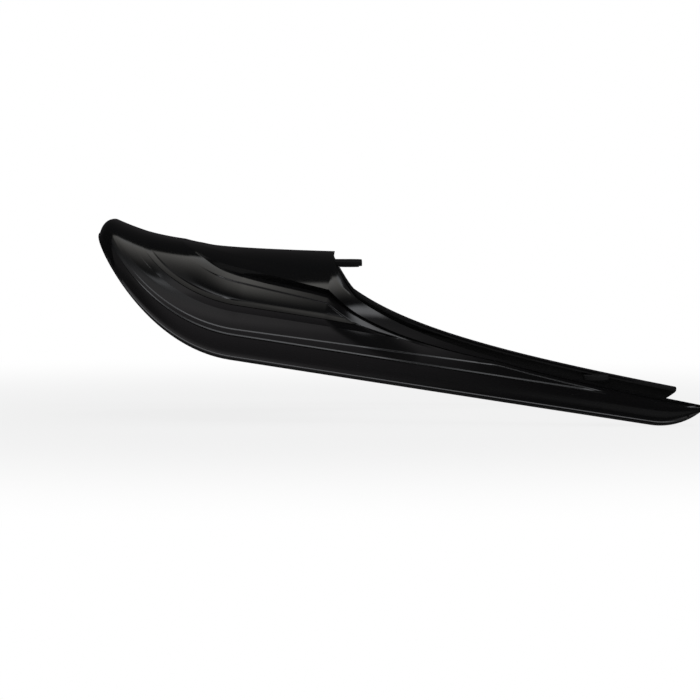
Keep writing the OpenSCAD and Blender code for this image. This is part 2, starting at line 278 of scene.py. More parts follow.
    def swept(self, g: Array, h: Array, y_side: Array) -> Array:
        """Points of the tail sweep.

        Args:
            g: Degrees of the sweep, -90 at the centre plane and 0 at the side.
            h: Heights on the side where the sweep starts.
            y_side: Half widths there.

        Returns:
            Points in the side frame.
        """
        c = np.abs(np.cos(np.radians(np.minimum(0.0, g))))
        end_s, end_h = self.tail_point(h)
        seat, top = self.seat_line(self.sweep_s), self.crown(self.sweep_s)
        crowned = smooth((h - seat) / (top - seat))
        blunt = self.tail_blunt + (2.0 - self.tail_blunt) * crowned
        s = self.sweep_s - (self.sweep_s - end_s) * np.sqrt(np.maximum(0.0, 1.0 - c**blunt))
        low = np.clip((h - self.panel_low_h) / (self.step_foot_h - self.panel_low_h), 0.0, 1.0)
        high = np.clip((h - self.step_foot_h) / (seat - self.step_foot_h), 0.0, 1.0)
        drift = self.step_slope * low - (self.step_slope - self.seat_slope) * high
        rise = self.tail_rise + self.edge_rise * (1.0 - np.clip(h / self.crest_line_h, 0.0, 1.0))
        level = h * (1.0 + crowned * (self.crown(s) / top - 1.0))
        end_level = h * (1.0 + crowned * (self.crown(end_s) / top - 1.0))
        y = y_side * self.half_w(s) / self.half_w(self.sweep_s) * c
        z = level + (1.0 - crowned) * drift * (self.sweep_s - s) * c
        return np.stack([s, y, z + (end_h - end_level) * (1.0 - c**rise)], axis=-1)

    def body(self, g: Array, h: Array) -> Array:
        """Points of the body.

        Args:
            g: Stations, degrees of the sweep below zero and millimetres of arm above it.
            h: Heights on the side.

        Returns:
            Points in the side frame.
        """
        g, h = np.broadcast_arrays(g, h)
        tail = self.swept(g, h, self.section_y(self.sweep_s, h))
        s = self.sweep_s + np.maximum(0.0, g)
        arm = np.stack([s, self.section_y(s, h), self.squeeze(s, h)], axis=-1)
        return np.where((g > 0.0)[..., None], arm, tail)

    def normal(self, g: Array, h: Array) -> Array:
        """Outward normals of the body, of length one.

        Args:
            g: Stations, as for the body.
            h: Heights on the side.

        Returns:
            Vectors in the side frame.
        """
        turn, rise = self.normal_steps
        up = self.body(g, h + rise) - self.body(g, h - rise)
        along = self.body(g + turn, h) - self.body(np.maximum(g - turn, CENTRE), h)
        n = np.cross(up, along)
        n[..., 1] *= g > CENTRE
        return unit(n)

    def mounted(self, p: Array) -> Array:
        """Takes points to where they are with the cowl mounted.

        Args:
            p: Points of the side frame, in millimetres.

        Returns:
            Points of the row frame, in metres.
        """
        a = math.radians(self.rake)
        x, z = p[..., 0] - self.deck_bolt_s, p[..., 2] - self.deck_bolt_h
        turned = [x * math.cos(a) + z * math.sin(a), p[..., 1], z * math.cos(a) - x * math.sin(a)]
        return MM * np.stack(turned, axis=-1)


def unit(v: Array) -> Array:
    """Vectors scaled to length one."""
    return v / np.maximum(1e-9, np.linalg.norm(v, axis=-1, keepdims=True))


@dataclass(frozen=True)
class StyleLines:
    """The relief of the moulding over its body: edge, bead, groove, wedge panel and step."""

    form: CowlForm
    crease: float = 1.0
    edge_roll: float = 1.0
    edge_flat_h: float = 2.2
    edge_foot_h: float = 4.6
    edge_fillet: float = 1.2
    edge_fade: float = 12.0
    bead_h: float = 20.4
    bead_w: float = 6.8
    bead_out: float = 0.88
    bead_face: float = 0.38
    bead_rise: float = 0.8
    facet: float = 1.2
    bead_climb: float = 0.018
    bead_grows: Point = (0.0, 80.0)
    bead_fades: Point = (425.0, 30.0)
    groove_h: float = 41.2
    groove_w: float = 5.8
    groove_deep: float = 1.75
    groove_shallow: float = 0.15
    groove_lip: float = 0.3
    border_tilt: float = 0.65
    lines_grow: Point = (30.0, 55.0)
    lines_fade: Point = (245.0, 40.0)
    panel_deep: float = 0.9
    panel_grows: Point = (82.0, 50.0)
    panel_least: float = 3.0
    step_h: float = 3.0
    step_wall: float = 0.9
    step_up: float = 0.4
    step_sink: float = 1.3
    step_grows: Point = (72.0, 40.0)
    step_fades: Point = (230.0, 110.0)
    step_left: float = 0.35
    step_lean: float = 0.4
    lean_grows: Point = (185.0, 25.0)
    lean_fades: Point = (260.0, 60.0)
    deck_bulge: float = 2.6
    bulge_power: float = 1.3
    bulge_grows: Point = (74.0, 76.0)
    bulge_fades: Point = (199.0, 30.0)
    scoop_w: float = 25.0
    scoop_low_h: float = 15.0
    edge_rows: tuple[float, ...] = (0.0, 0.1, 0.35, 0.75, 1.2)
    crease_rows: tuple[float, ...] = (-0.45, -0.1, 0.15, 0.35, 0.5, 0.65, 0.85, 1.1, 1.45)
    groove_rows: tuple[float, ...] = (-0.2, 0.0, 0.1, 0.2, 0.3, 0.45)
    groove_top_rows: tuple[float, ...] = (-0.45, -0.3, -0.2, -0.1, 0.0, 0.15)
    panel_rows: tuple[float, ...] = (-0.2, 0.0, 0.15, 0.5, 0.85, 1.0, 1.2)
    step_rows: tuple[float, ...] = (-0.3, 0.0, 0.15, 0.35, 0.5, 0.65, 0.85, 1.0, 1.3)
    seat_rows: Point = (0.3, 0.15)
    row_gap: float = 0.15
    wide_gap: float = 0.25
    facet_at: float = 1.2
    wall_share: float = 0.4

    def bead_top(self, arm: Array) -> Array:
        """Height of the bead's upper edge at a place along the arm."""
        ahead = np.maximum(0.0, arm - self.form.sweep_s)
        return self.bead_h + self.bead_w + self.bead_climb * ahead

    def step_foot(self, s: Array) -> Array:
        """Height of the foot of the step's wall at a place s."""
        return self.form.step_line(s) + self.step_up - self.step_sink * ramp(s, self.bulge_grows)

    def scoop(self, h: Array, s: Array) -> Array:
        """How far the side falls in towards the foot of the step.

        Args:
            h: Heights on the side.
            s: Places of the points.

        Returns:
            Millimetres, zero or less.
        """
        step = self.step_h * ramp(s, self.step_grows)
        step = step * (1.0 - (1.0 - self.step_left) * ramp(s, self.step_fades))
        foot = self.step_foot(np.maximum(s, self.form.sweep_s))
        low = self.form.border_line(np.maximum(s, self.form.sweep_s))
        lean = self.step_lean * ramp(s, self.lean_grows) * (1.0 - ramp(s, self.lean_fades))
        lean = lean * np.clip((h - low) / (foot - low), 0.0, 1.0)
        fall = smooth(1.0 - (foot - h) / np.minimum(self.scoop_w, foot - self.scoop_low_h))
        return -step * fall - lean

    def bulge(self, t: Array, s: Array) -> Array:
        """How far the deck's side stands out, with t from 0 at the step to 1 at the seat line."""
        share = ramp(s, self.bulge_grows) * (1.0 - ramp(s, self.bulge_fades))
        return self.deck_bulge * share * (1.0 - np.clip(t, 0.0, 1.0)) ** self.bulge_power

    def bead(self, h: Array, arm: Array) -> Array:
        """Stand-out of the side bead, whose two upper facets draw its two bright lines.

        Args:
            h: Heights on the side.
            arm: Places along the arm.

        Returns:
            Millimetres.
        """
        top = self.bead_top(arm)
        rise = np.clip((h - self.bead_h) / self.bead_rise, 0.0, 1.0)
        first = np.clip((h - self.bead_h - self.facet_at * self.bead_rise) / self.facet, 0.0, 1.0)
        last = np.clip((h - top + self.facet) / self.facet, 0.0, 1.0)
        drop = (self.bead_out - self.bead_face) * first
        return self.bead_out * rise - drop - self.bead_face * last

    def groove(self, h: Array) -> Array:
        """Stand-out of the groove, whose floor faces down, and of the border above it.

        Args:
            h: Heights on the side.

        Returns:
            Millimetres.
        """
        top, end = self.groove_h + self.groove_w, self.form.panel_low_h
        floor = np.clip((h - self.groove_h) / self.groove_w, 0.0, 1.0)
        deep = self.groove_deep + (self.groove_shallow - self.groove_deep) * floor
        down = np.clip((h - self.groove_h) / self.groove_lip, 0.0, 1.0)
        out = np.clip((h - top + self.groove_lip) / self.groove_lip, 0.0, 1.0)
        ridge = self.border_tilt * (1.0 - 2.0 * np.clip((h - top) / (end - top), 0.0, 1.0))
        fade = 1.0 - np.clip((h - end) / self.crease, 0.0, 1.0)
        return -deep * down * (1.0 - out) + ridge * out * fade

    def relief(self, h: Array, arm: Array, s: Array) -> Array:
        """Stand-out of the surface from the body.

        Args:
            h: Heights on the side.
            arm: Places along the arm, which set where the lines run.
            s: Places of the points themselves, which set how strong the lines are.

        Returns:
            Millimetres along the outward normal.
        """
        form, c = self.form, self.crease
        low, foot, seat = form.border_line(arm), self.step_foot(arm), form.seat_line(arm)
        below = 1.0 - smooth((h - low + c) / c)
        bead = ramp(s, self.bead_grows) * (1.0 - ramp(s, self.bead_fades))
        groove = ramp(s, self.lines_grow) * (1.0 - ramp(s, self.lines_fade))
        room = (form.border_line(np.maximum(s, form.sweep_s)) - form.panel_low_h) / self.panel_least
        panel = self.panel_deep * ramp(s, self.panel_grows) * np.clip(room, 0.0, 1.0)
        lines = bead * self.bead(h, arm) + groove * self.groove(h)
        lines = lines - panel * np.clip((h - form.panel_low_h) / c, 0.0, 1.0)
        step_wall = np.minimum(self.step_wall, self.wall_share * (seat - foot))
        up = np.clip((h - foot) / step_wall, 0.0, 1.0)
        above = (h - foot - step_wall) / np.maximum(0.1, seat - foot - step_wall)
        scoop = self.scoop(h, s) * (1.0 - up) + self.bulge(above, s) * up
        edge = 1.0 - smooth((h - self.edge_flat_h) / (self.edge_foot_h - self.edge_flat_h))
        roll = self.edge_roll * edge * smooth((form.arm_s - s) / self.edge_fade)
        x = np.maximum(0.0, self.edge_fillet - h)
        fillet = self.edge_fillet - np.sqrt(np.maximum(0.0, self.edge_fillet**2 - x * x))
        return lines * below + scoop + roll - fillet

    def rows(self, arm: Array) -> Array:
        """Heights of the rows from the bottom edge to just below the seat line.

        Args:
            arm: Place along the arm of each station.

        Returns:
            A grid of heights, stations by rows, that never falls from row to row.
        """
        form, one = self.form, np.ones_like(arm)
        low, foot, seat = form.border_line(arm), self.step_foot(arm), form.seat_line(arm)
        gap, wide, edge = self.row_gap, self.wide_gap, self.crease_rows[-1]
        top, groove_top = self.bead_top(arm), self.groove_h + self.groove_w
        cap = low - edge
        second = self.facet_at * self.bead_rise
        bead_low = [-wide, 0.0, gap, self.bead_rise - gap, self.bead_rise, second, second + gap]
        bead_low += [second + self.facet + d for d in (-gap, 0.0, wide)]
        bead_top = [-self.facet - wide, -self.facet, gap - self.facet, -gap, 0.0, wide]
        heights = [h * one for h in self.edge_rows + (self.edge_flat_h,)]
        heights += spread(self.edge_flat_h * one, self.edge_foot_h * one, 3)
        heights += spread(self.edge_foot_h * one, (self.bead_h + bead_low[0]) * one, 5)
        heights += [self.bead_h + t * one for t in bead_low]
        heights += spread((self.bead_h + bead_low[-1]) * one, top + bead_top[0], 2)
        heights += [top + t for t in bead_top]
        heights += spread(top + bead_top[-1], (self.groove_h + self.groove_rows[0]) * one, 5)
        heights += [self.groove_h + t * one for t in self.groove_rows]
        floor = (self.groove_h + self.groove_rows[-1], groove_top + self.groove_top_rows[0])
        heights += spread(floor[0] * one, floor[1] * one, 4)
        heights += [groove_top + t * one for t in self.groove_top_rows]
        border = (groove_top + self.groove_top_rows[-1], form.panel_low_h + self.panel_rows[0])
        heights += spread(border[0] * one, border[1] * one, 2)
        heights += [form.panel_low_h + t * one for t in self.panel_rows + (edge,)]
        heights = [np.minimum(h, cap) for h in heights]
        heights += spread(np.minimum(cap, form.panel_low_h + edge), cap, 12)
        heights += [low - t for t in reversed(self.crease_rows)]
        heights += spread(low - self.crease_rows[0], foot - 2.0 * gap, 2)
        band = seat - foot
        step_wall = np.minimum(self.step_wall, self.wall_share * band)
        heights += [foot + t * step_wall for t in self.step_rows]
        last, near = self.seat_rows
        heights += spread(foot + self.step_rows[-1] * step_wall, seat - last * band, 5)
        heights += [seat - last * band, seat - near * band]
        return np.maximum.accumulate(np.stack(heights, axis=1), axis=1)


class Join(Enum):
    """What is done with a solid that meets another."""

    ADD = "UNION"
    CUT = "DIFFERENCE"


class Solids:
    """Small closed meshes and the ways to join them."""

    SHARP = math.radians(30.0)
    ROUND_STEPS = 3

    @staticmethod
    def prism(name: str, outline: Sequence[Point], low: float, high: float,
              place: Callable[[Array], Array], round_off: float = 0.5) -> bpy.types.Object:
        """Draws an outline out into a solid with rounded edges.

        Args:
            name: Name of the object.
            outline: Corners, in millimetres, anticlockwise.
            low: Where the solid starts along its third axis.
            high: Where it ends.
            place: Turns rows of (a, b, third) into points of the row frame, in metres.
            round_off: Width of the rounded edges, in millimetres.

        Returns:
            The solid's object.
        """
        mesh = bmesh.new()
        ends = []
        for third in (low, high):
            rows = np.array([(a, b, third) for a, b in outline])
            ends.append([mesh.verts.new(p) for p in place(rows)])
        mesh.faces.new(list(reversed(ends[0])))
        mesh.faces.new(ends[1])
        count = len(outline)
        for k in range(count):
            n = (k + 1) % count
            mesh.faces.new([ends[0][k], ends[0][n], ends[1][n], ends[1][k]])
        bmesh.ops.recalc_face_normals(mesh, faces=mesh.faces)
        if round_off:
            sharp = [e for e in mesh.edges if e.calc_face_angle(0.0) > Solids.SHARP]
            bmesh.ops.bevel(mesh, geom=sharp, offset=round_off * MM, segments=Solids.ROUND_STEPS,
                            profile=0.5, affect="EDGES", clamp_overlap=True)
        data = bpy.data.meshes.new(name)
        mesh.to_mesh(data)
        mesh.free()
        return add_object(name, data)

    @staticmethod
    def combine(base: bpy.types.Object, others: Sequence[bpy.types.Object], how: Join) -> None:
        """Joins solids to a base, or cuts them out of it, and removes them.

        Args:
            base: The object that is changed.
            others: The solids.
            how: Whether they are added or cut out.
        """
        for other in others:
            step = base.modifiers.new(other.name, "BOOLEAN")
            step.operation, step.object, step.solver = how.value, other, "MANIFOLD"
        Solids.bake(base)
        for other in others:
            bpy.data.objects.remove(other)

    @staticmethod
    def bake(obj: bpy.types.Object) -> None:
        """Turns what the object's modifiers make into its own plain mesh.

        Args:
            obj: The object, which is changed.
        """
        view = bpy.context.evaluated_depsgraph_get()
        made = bpy.data.meshes.new_from_object(obj.evaluated_get(view), depsgraph=view)
        obj.modifiers.clear()
        obj.data = made

    @staticmethod
    def level(p: Array) -> Array:
        """Millimetres of the row frame as metres."""
        return p * MM

    @staticmethod
    def arc(centre: Point, r: float, start: float, end: float, steps: int) -> list[Point]:
        """Corners along an arc, with angles in degrees."""
        angles = np.radians(np.linspace(start, end, steps + 1))
        return [(centre[0] + r * math.cos(a), centre[1] + r * math.sin(a)) for a in angles]


@dataclass(frozen=True)
class Pattern:
    """Copies of one small shape at given points, placed by Geometry Nodes."""

    name: str
    size: float = 1.0

    def _tree(self) -> bpy.types.GeometryNodeTree:
        """Builds the node tree, with a named input for each thing that can change.

        Returns:
            The tree.
        """
        tree = bpy.data.node_groups.new(self.name, "GeometryNodeTree")
        face = tree.interface
        face.new_socket("Geometry", in_out="OUTPUT", socket_type="NodeSocketGeometry")
        for name, kind in (("Geometry", "Geometry"), ("Shape", "Object"), ("Size", "Float"),
                           ("Finish", "Material")):
            face.new_socket(name, in_out="INPUT", socket_type="NodeSocket" + kind)
        add, link = tree.nodes.new, tree.links.new
        given, out = add("NodeGroupInput"), add("NodeGroupOutput")
        shape, copies = add("GeometryNodeObjectInfo"), add("GeometryNodeInstanceOnPoints")
        whole, dress = add("GeometryNodeRealizeInstances"), add("GeometryNodeSetMaterial")
        link(given.outputs["Shape"], shape.inputs["Object"])
        link(given.outputs["Geometry"], copies.inputs["Points"])
        link(shape.outputs["Geometry"], copies.inputs["Instance"])
        link(given.outputs["Size"], copies.inputs["Scale"])
        link(copies.outputs["Instances"], whole.inputs["Geometry"])
        link(whole.outputs["Geometry"], dress.inputs["Geometry"])
        link(given.outputs["Finish"], dress.inputs["Material"])
        link(dress.outputs["Geometry"], out.inputs["Geometry"])
        return tree

    def build(self, points: Sequence[Array], shape: bpy.types.Object,
              finish: bpy.types.Material) -> bpy.types.Object:
        """Makes the copies and returns them as one plain mesh object.

        Args:
            points: Where the copies go, in metres.
            shape: The object that is copied. It is removed.
            finish: The material of the copies.

        Returns:
            The pattern's object, at the origin.
        """
        carrier = bpy.data.meshes.new(self.name + "_points")
        carrier.from_pydata([tuple(p) for p in points], [], [])
        base = add_object(self.name, carrier)
        step = base.modifiers.new(self.name, "NODES")
        step.node_group = self._tree()
        values = {"Shape": shape, "Size": self.size, "Finish": finish}
        for item in step.node_group.interface.items_tree:
            if item.in_out == "INPUT" and item.name in values:
                step[item.identifier] = values[item.name]
        Solids.bake(base)
        bpy.data.objects.remove(shape)
        return base


@dataclass
class CowlShell:
    """The moulded skin: outside, inside, rims and the ledge under the seat."""

    form: CowlForm
    lines: StyleLines
    tail_steps: int = 96
    arm_step: float = 2.8
    deck_rows: int = 16
    inner_every: int = 3
    ledge_rows: tuple[float, ...] = (0.0, 0.05, 0.12, 0.2, 0.4, 0.6, 0.8, 1.0)
    same_point: float = 0.02
    flat_run: float = 1.4
    turn_run: float = 1.5
    stations: Array = field(init=False)

    def __post_init__(self) -> None:
        """Sets the stations: degrees of the sweep below zero, millimetres of arm above it."""
        f = self.form
        deck, tip = f.deck_front_s - f.sweep_s, f.arm_s - f.sweep_s
        arc = tip - f.arc_run
        tail = CENTRE * (1.0 - np.arange(self.tail_steps + 1) / self.tail_steps)
        beside = np.linspace(0.0, deck, int(deck / self.arm_step))[1:]
        ahead = np.linspace(deck, arc, int((arc - deck) / self.arm_step))[1:]
        end = arc + f.arc_run * np.sin(np.radians(np.arange(3, 91, 3)))
        kink = [f.kink_s - f.sweep_s]
        self.stations = np.unique(np.concatenate([tail, beside, kink, ahead, end]).round(6))

    def _upper(self, arm: Array) -> tuple[Array, int]:
        """Rows over the ledge and, behind its front edge, over the deck to the centre line.

        Args:
            arm: Place along the arm of each station.

        Returns:
            Points, stations by rows, and the number of rows on the ledge.
        """
        f, s = self.form, arm[:, None]
        on_ledge = np.array(self.ledge_rows)
        on_deck = np.arange(1, self.deck_rows + 1) / self.deck_rows
        flat = smooth((s - f.deck_front_s) / (self.flat_run * f.corner_r))

        def half_width(place: Array | float) -> Array:
            """Half widths of the rows at a place."""
            edge, width = f.section_y(place, f.seat_line(place)), f.ledge_width(place)
            return np.concatenate([edge - width * on_ledge * np.ones_like(place),
                                   (edge - width) * (1.0 - on_deck) * np.ones_like(place)], axis=-1)

        y, y_side = half_width(s), half_width(f.sweep_s)
        across = np.concatenate([on_ledge, np.ones_like(on_deck)])
        z = f.section_h(s, y) * (1.0 - flat) + (f.seat_line(s) - f.ledge_drop * across) * flat
        arm_rows = np.stack([np.broadcast_to(s, y.shape), y, z], axis=-1)
        tail = f.swept(self.stations[:, None], f.section_h(f.sweep_s, y_side), y_side)
        return np.where((self.stations > 0.0)[:, None, None], arm_rows, tail), len(on_ledge)

    def _outside(self) -> tuple[Array, Array, int]:
        """The outside of the left half.

        Returns:
            Its points, stations by rows, the heights of its lower rows, and the ledge's last row.
        """
        f, g = self.form, self.stations[:, None]
        arm = f.sweep_s + np.maximum(0.0, self.stations)
        h = self.lines.rows(arm)
        p = f.body(g, h)
        p = p + f.normal(g, h) * self.lines.relief(h, arm[:, None], p[..., 0])[..., None]
        upper, ledge_rows = self._upper(arm)
        return np.concatenate([p, upper], axis=1), h, h.shape[1] + ledge_rows - 1

    def _inside(self, outer: Array, h: Array) -> Array:
        """The inside of the left half, a wall behind the body.

        Args:
            outer: Points of the outside, stations by rows.
            h: Heights of its lower rows.

        Returns:
            Points of the inside, with the same stations and rows.
        """
        f, g = self.form, self.stations[:, None]
        arm = (f.sweep_s + np.maximum(0.0, self.stations))[:, None]
        low, seat = f.bottom_h(arm), f.seat_line(arm)
        turn = (arm - f.deck_front_s + f.corner_r / 2.0) / (self.turn_run * f.corner_r)
        turn = smooth(turn) * (g > 0.0)
        cap = seat * np.clip((seat - f.wall - low) / np.maximum(1e-6, seat - low), 0.0, 1.0)
        h = np.minimum(h, cap * turn + seat * (1.0 - turn))
        p = f.body(g, h)
        scoop = self.lines.scoop(h, p[..., 0]) * (1.0 - smooth(h - f.step_line(arm)))
        lower = p + f.normal(g, h) * (scoop - f.wall)[..., None]
        rows = outer[:, h.shape[1]:]
        n = np.cross(np.gradient(rows, axis=1), np.gradient(rows, axis=0))
        n[:, -1, 1] = n[0, :, 1] = 0.0
        n = unit(n)
        n = n * np.where(n[..., 2:] < 0.0, -1.0, 1.0)
        n = unit(n * (1.0 - turn[..., None]) + np.array([0.0, 0.0, 1.0]) * turn[..., None])
        upper = rows - n * f.wall
        pulled_in = np.minimum(upper[..., 1], rows[:, :1, 1] - f.wall)
        upper[..., 1] = upper[..., 1] * (1.0 - turn) + pulled_in * turn
        return np.concatenate([lower, upper], axis=1)

    def build(self) -> tuple[bpy.types.Object, Array]:
        """Builds the skin.

        Returns:
            Its object, one closed mesh, and the points of its outside in the row frame.
        """
        outer, h, ledge_row = self._outside()
        inner = self._inside(outer, h)
        mid, last = outer.shape[1] - 1, len(self.stations) - 1
        deck_run = self.form.deck_front_s - self.form.sweep_s
        front = int(np.argmin(np.abs(self.stations - deck_run)))
        kept = set(range(0, ledge_row, self.inner_every)) | set(range(ledge_row, mid, 2))
        inner_rows = sorted(kept | {mid})
        mesh = bmesh.new()
        for side in (1.0, -1.0):
            turn, flip = np.array([1.0, side, 1.0]), side < 0.0
            skins = []
            for skin, rows in ((outer, range(mid + 1)), (inner, inner_rows)):
                co = self.form.mounted(skin * turn)
                skins.append({(i, j): mesh.verts.new(co[i, j]) for i in range(last + 1)
                              for j in rows if i <= front or j <= ledge_row})
            out, ins = skins
            for i in range(last):
                sheets = ((out, list(range(mid + 1)), flip), (ins, inner_rows, not flip))
                for skin, rows, back in sheets:
                    for a, b in zip(rows, rows[1:]):
                        if b <= ledge_row or i < front:
                            quad = [skin[i, a], skin[i + 1, a], skin[i + 1, b], skin[i, b]]
                            self._face(mesh, quad, back)
                self._face(mesh, [out[i, 0], ins[i, 0], ins[i + 1, 0], out[i + 1, 0]], flip)
                if i >= front:
                    rim = [out[i, ledge_row], out[i + 1, ledge_row]]
                    self._face(mesh, rim + [ins[i + 1, ledge_row], ins[i, ledge_row]], flip)
            for a, b in zip(inner_rows, inner_rows[1:]):
                i = last if b <= ledge_row else front
                fan = [out[i, j] for j in range(a, b + 1)] + [ins[i, b], ins[i, a]]
                self._face(mesh, fan, flip)
        tight = self.same_point * MM
        bmesh.ops.remove_doubles(mesh, verts=mesh.verts, dist=tight)
        bmesh.ops.dissolve_degenerate(mesh, edges=mesh.edges, dist=tight)
        wires = [e for e in mesh.edges if not e.link_faces]
        bmesh.ops.delete(mesh, geom=wires, context="EDGES")
        bmesh.ops.recalc_face_normals(mesh, faces=mesh.faces)
        loose = sum(1 for e in mesh.edges if len(e.link_faces) != 2)
        LOG.info("skin: %d faces, %d edges that aren't between two faces", len(mesh.faces), loose)
        data = bpy.data.meshes.new("seat_cowl")
        mesh.to_mesh(data)
        mesh.free()
        outside = [self.form.mounted(outer * np.array([1.0, side, 1.0])) for side in (1.0, -1.0)]
        return add_object("seat_cowl", data), np.concatenate([o.reshape(-1, 3) for o in outside])

    @staticmethod
    def _face(mesh: bmesh.types.BMesh, verts: list, flip: bool) -> None:
        """Adds a face, turned round where flip says so."""
        mesh.faces.new(list(reversed(verts)) if flip else verts)


@dataclass
class Fixings:
    """Riser, bolt plate, gussets and lugs, all of the same moulding, and their bores."""

    form: CowlForm
    bolt_d: float = 6.5
    bolt_span: float = 70.0
    plate_t: float = 4.0
    plate_rim: float = 8.0
    arm_bolt_s: float = 455.0
    arm_bolt_in: float = 21.0
    inset: float = 0.4
    gusset_run: float = 34.0
    gusset_round: float = 0.3
    pad_r: float = 8.5
    pad_h: float = 0.8
    riser_rows: int = 25
    ear_steps: int = 16
    ring_steps: int = 48

    @property
    def ear_r(self) -> float:
        """Radius of the round end about a bolt hole."""
        return self.bolt_d / 2.0 + self.plate_rim

    @property
    def plate_half(self) -> float:
        """Half width of the deck's bolt plate."""
        return self.bolt_span / 2.0 + self.ear_r

    @property
    def riser_s(self) -> float:
        """Place of the riser's back face."""
        return self.form.deck_front_s - self.form.wall - self.inset

    @property
    def riser_foot(self) -> float:
        """Height of the riser's foot, in the middle of the plate.

        Returns:
            Millimetres above the bottom edge's line.
        """
        tilt = math.tan(math.radians(self.form.rake))
        lower = (self.riser_s - self.form.deck_bolt_s) * tilt
        return self.form.deck_bolt_h + lower - self.plate_t / 2.0

    @property
    def arm_bolt(self) -> Array:
        """Middle of the left lug's top face.

        Returns:
            A point of the row frame, in millimetres.
        """
        f, s = self.form, self.arm_bolt_s
        y = f.section_y(s, f.seat_line(s)) - self.arm_bolt_in
        h = f.seat_line(s) - f.ledge_drop - f.wall + self.inset
        return f.mounted(np.array([s, float(y), float(h)])) / MM

    def bolts(self) -> list[Array]:
        """Middles of the four bolt seats.

        Returns:
            Points of the row frame, in millimetres.
        """
        half, lug = self.bolt_span / 2.0, self.arm_bolt
        mirrored = lug * np.array([1.0, -1.0, 1.0])
        return [np.array([0.0, half, 0.0]), np.array([0.0, -half, 0.0]), lug, mirrored]

    def _plate(self) -> bpy.types.Object:
        """The level plate under the rear end of the seat.

        Returns:
            Its object.
        """
        reach = self.form.deck_bolt_s - self.riser_s - self.form.wall / 2.0
        half, r = self.bolt_span / 2.0, self.ear_r
        ears = Solids.arc((0.0, -half), r, -90.0, 0.0, self.ear_steps)
        ears += Solids.arc((0.0, half), r, 0.0, 90.0, self.ear_steps)
        outline = [(-reach, -self.plate_half)] + ears + [(-reach, self.plate_half)]
        return Solids.prism("plate", outline, -self.plate_t, 0.0, Solids.level)

    def _riser(self) -> bpy.types.Object:
        """The wall that steps down from the deck's front edge to the plate.

        Returns:
            Its object.
        """
        f, half, foot = self.form, self.plate_half, self.riser_foot
        across = np.linspace(half, -half, self.riser_rows)
        top = [(float(y), float(f.section_h(self.riser_s, y)) - f.wall / 2.0) for y in across]
        outline = [(-half, foot), (half, foot)] + top

        def place(p: Array) -> Array:
            """Takes (y, h, s) to the row frame."""
            return f.mounted(p[:, [2, 0, 1]])

        return Solids.prism("riser", outline, self.riser_s, self.riser_s + f.wall, place, 0.0)

    def _gusset(self, side: float) -> bpy.types.Object:
        """The web under the deck behind one bolt.

        Args:
            side: 1 for the left one, -1 for the right one.

        Returns:
            Its object.
        """
        f, y, back = self.form, self.bolt_span / 2.0, self.riser_s
        along = [back + f.wall / 2.0, back - self.gusset_run / 2.0, back - self.gusset_run]
        top = [(s, float(f.section_h(s, y)) - f.wall / 2.0) for s in along]
        outline = [(along[0], self.riser_foot)] + top

        def place(p: Array) -> Array:
            """Takes (s, h, y) to the row frame."""
            return f.mounted(p[:, [0, 2, 1]] * np.array([1.0, side, 1.0]))

        half = f.wall / 2.0
        name = f"gusset_{side:+.0f}"
        return Solids.prism(name, outline, y - half, y + half, place, self.gusset_round)

    def _lug(self, side: float) -> bpy.types.Object:
        """The level lug inside one arm.

        Args:
            side: 1 for the left one, -1 for the right one.

        Returns:
            Its object.
        """
        r, reach = self.ear_r, self.arm_bolt_in - self.form.wall / 2.0
        ear = Solids.arc((0.0, 0.0), r, 180.0, 360.0, 2 * self.ear_steps)
        outline = [(-r, reach)] + ear + [(r, reach)]
        middle, turn = self.arm_bolt, np.array([1.0, side, 1.0])

        def place(p: Array) -> Array:
            """Moves the lug to its bolt."""
            return Solids.level((p + middle) * turn)

        return Solids.prism(f"lug_{side:+.0f}", outline, -self.plate_t, 0.0, place)

    def _at_bolts(self, name: str, r: float, low: float, high: float,
                  finish: bpy.types.Material) -> bpy.types.Object:
        """One upright round solid at each of the four bolts.

        Args:
            name: Name of the object.
            r: Radius.
            low: Its lower end, above the bolt's seat.
            high: Its upper end.
            finish: Its material.

        Returns:
            The four solids as one object.
        """
        outline = Solids.arc((0.0, 0.0), r, 0.0, 360.0, self.ring_steps)[:-1]
        rod = Solids.prism(name + "_shape", outline, low, high, Solids.level, 0.0)
        return Pattern(name).build([middle * MM for middle in self.bolts()], rod, finish)

    def join(self, shell: bpy.types.Object, finish: bpy.types.Material) -> None:
        """Joins the fixings to the skin and bores their holes.

        Args:
            shell: The skin, which is changed.
            finish: The material of the moulding.
        """
        low, inside = -self.plate_t - self.pad_h, -self.plate_t / 2.0
        parts = [self._riser(), self._plate()]
        parts += [make(side) for side in (1.0, -1.0) for make in (self._gusset, self._lug)]
        parts.append(self._at_bolts("pads", self.pad_r, low, inside, finish))
        Solids.combine(shell, parts, Join.ADD)
        reach = 2.0 * self.plate_t
        bores = self._at_bolts("bores", self.bolt_d / 2.0, -reach, reach, finish)
        Solids.combine(shell, [bores], Join.CUT)


